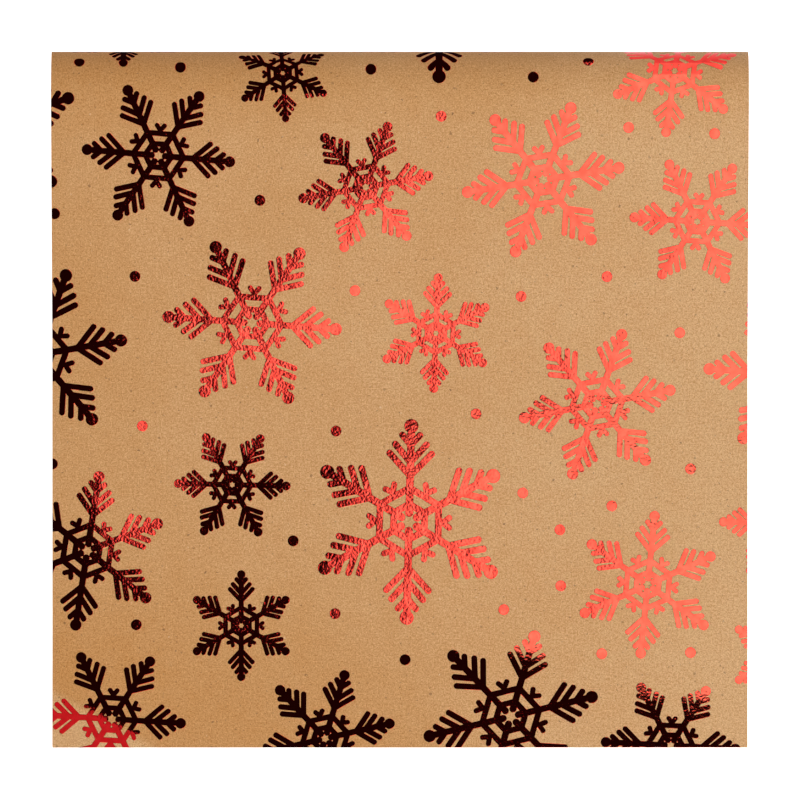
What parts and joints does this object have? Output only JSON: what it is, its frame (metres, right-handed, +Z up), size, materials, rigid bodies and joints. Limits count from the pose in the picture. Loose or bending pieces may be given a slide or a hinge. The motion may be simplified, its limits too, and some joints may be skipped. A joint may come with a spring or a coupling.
{
  "type": "wrapping paper roll",
  "caption": "Roll of brown kraft wrapping paper with red foil snowflakes, on a paperboard core, with its end drawn out and laid flat.",
  "frame": {"origin": "on the surface it lies on, under the middle of the plan, halfway between the back of the roll and the paper's cut end", "axes": "+X along the roll, +Y from the cut end towards the roll, +Z up"},
  "size_m": [0.3, 0.3, 0.0356],
  "materials": {
    "kraft_paper": "matt natural brown kraft with fine fibres and flecks",
    "core_board": "matt spiral-wound paperboard",
    "clear_tape": "satin film",
    "red_foil": "mirror red hot-stamped foil with a fine crinkle"
  },
  "bodies": {
    "sheet": {"outer_turn": "kraft_paper", "lead_sheet": "kraft_paper", "foil_snowflakes": "red_foil", "foil_dots": "red_foil"},
    "roll": {"core_inner_ply": "core_board", "core_middle_ply": "core_board", "core_outer_ply": "core_board", "start_tape": "clear_tape", "wound_paper": "kraft_paper"}
  },
  "joints": [
    {"name": "roll_turn", "type": "hinge", "parent": "sheet", "child": "roll", "pos_m": [0, 0.13223, 0.01781], "axis": [1, 0, 0], "continuous": true}
  ]
}
